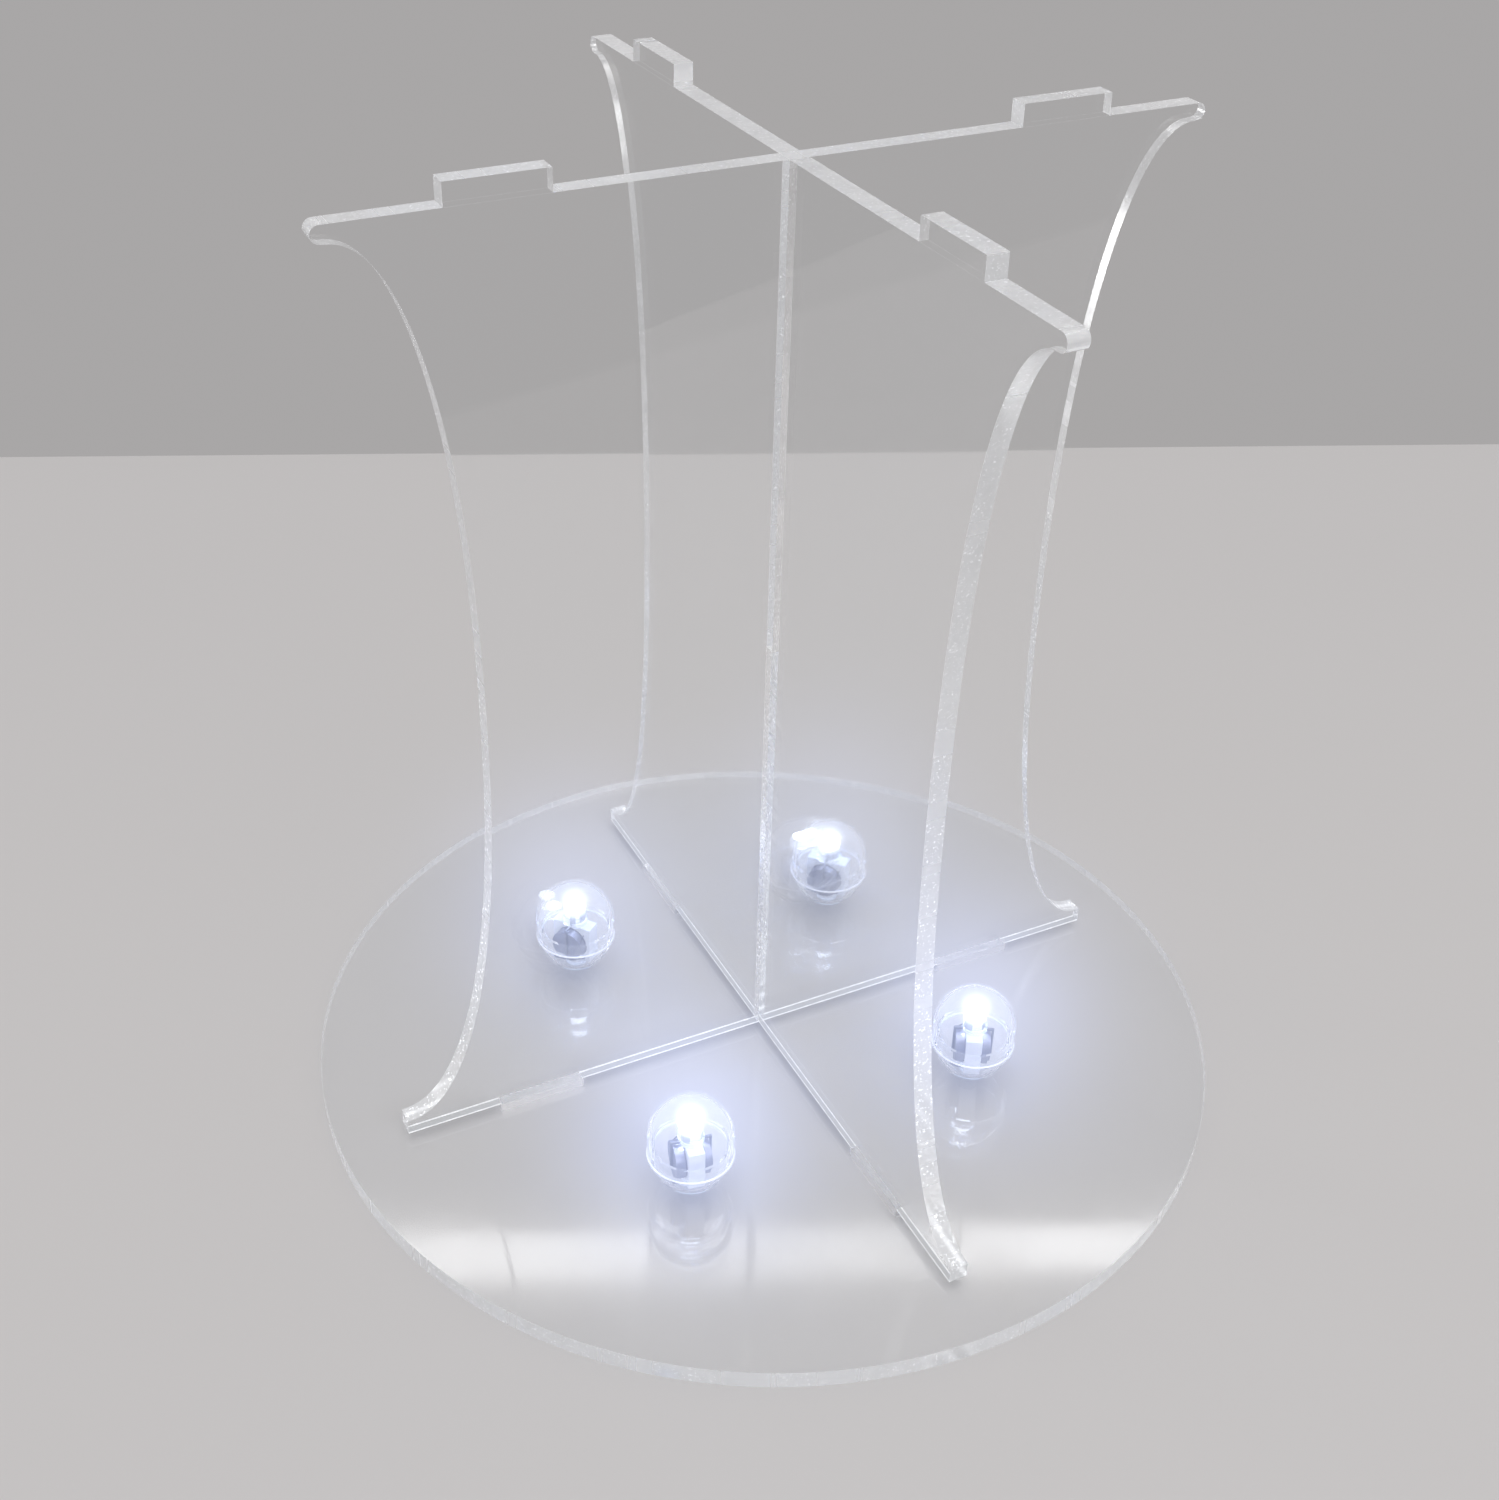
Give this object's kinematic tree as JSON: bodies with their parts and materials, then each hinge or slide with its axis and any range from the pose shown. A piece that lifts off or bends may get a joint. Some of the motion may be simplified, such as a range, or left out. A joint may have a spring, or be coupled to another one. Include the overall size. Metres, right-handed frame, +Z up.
{
  "type": "display stand",
  "caption": "Clear display stand of crossed slotted panels on a round base disc, with loose ball lights standing on the disc.",
  "frame": {"origin": "centre of the base disc's underside, on the surface that it stands on", "axes": "+Z up; the upper panel lies along X and the lower panel along Y"},
  "size_m": [0.2, 0.2, 0.2062],
  "materials": {
    "acrylic_sheet": "clear polished sheet with laser-cut edges",
    "clear_shell": "clear moulded, thin-walled",
    "holder_white": "milky white moulded",
    "cell_steel": "bright rolled steel",
    "lead_wire": "tinned wire",
    "lamp_lens": "clear lens, lit cool white"
  },
  "bodies": {
    "base": {"base_disc": "acrylic_sheet"},
    "lower": {"lower_panel": "acrylic_sheet"},
    "upper": {"upper_panel": "acrylic_sheet"},
    "light_1": {"cup_1": "clear_shell", "holder_1": "holder_white", "cells_1": "cell_steel", "leads_1": "lead_wire", "lamp_1": "lamp_lens"},
    "dome_top_1": {"dome_1": "clear_shell"},
    "light_2": {"cup_2": "clear_shell", "holder_2": "holder_white", "cells_2": "cell_steel", "leads_2": "lead_wire", "lamp_2": "lamp_lens"},
    "dome_top_2": {"dome_2": "clear_shell"},
    "light_3": {"cup_3": "clear_shell", "holder_3": "holder_white", "cells_3": "cell_steel", "leads_3": "lead_wire", "lamp_3": "lamp_lens"},
    "dome_top_3": {"dome_3": "clear_shell"},
    "light_4": {"cup_4": "clear_shell", "holder_4": "holder_white", "cells_4": "cell_steel", "leads_4": "lead_wire", "lamp_4": "lamp_lens"},
    "dome_top_4": {"dome_4": "clear_shell"}
  },
  "joints": [
    {"name": "lower_lift", "type": "slide", "parent": "base", "child": "lower", "axis": [0, 0, 1], "range_m": [0, 0.02]},
    {"name": "upper_lift", "type": "slide", "parent": "lower", "child": "upper", "axis": [0, 0, 1], "range_m": [0, 0.205]},
    {"name": "light_lift_1", "type": "slide", "parent": "base", "child": "light_1", "axis": [0, 0, 1], "range_m": [0, 0.03]},
    {"name": "dome_twist_1", "type": "hinge", "parent": "light_1", "child": "dome_top_1", "pos_m": [-0.0316, 0.0372, 0.0131], "axis": [0, 0, 1], "range_deg": [0, 90]},
    {"name": "light_lift_2", "type": "slide", "parent": "base", "child": "light_2", "axis": [0, 0, 1], "range_m": [0, 0.03]},
    {"name": "dome_twist_2", "type": "hinge", "parent": "light_2", "child": "dome_top_2", "pos_m": [-0.0368, -0.0394, 0.0131], "axis": [0, 0, 1], "range_deg": [0, 90]},
    {"name": "light_lift_3", "type": "slide", "parent": "base", "child": "light_3", "axis": [0, 0, 1], "range_m": [0, 0.03]},
    {"name": "dome_twist_3", "type": "hinge", "parent": "light_3", "child": "dome_top_3", "pos_m": [0.0338, -0.0353, 0.0131], "axis": [0, 0, 1], "range_deg": [0, 90]},
    {"name": "light_lift_4", "type": "slide", "parent": "base", "child": "light_4", "axis": [0, 0, 1], "range_m": [0, 0.03]},
    {"name": "dome_twist_4", "type": "hinge", "parent": "light_4", "child": "dome_top_4", "pos_m": [0.0366, 0.0338, 0.0131], "axis": [0, 0, 1], "range_deg": [0, 90]}
  ]
}
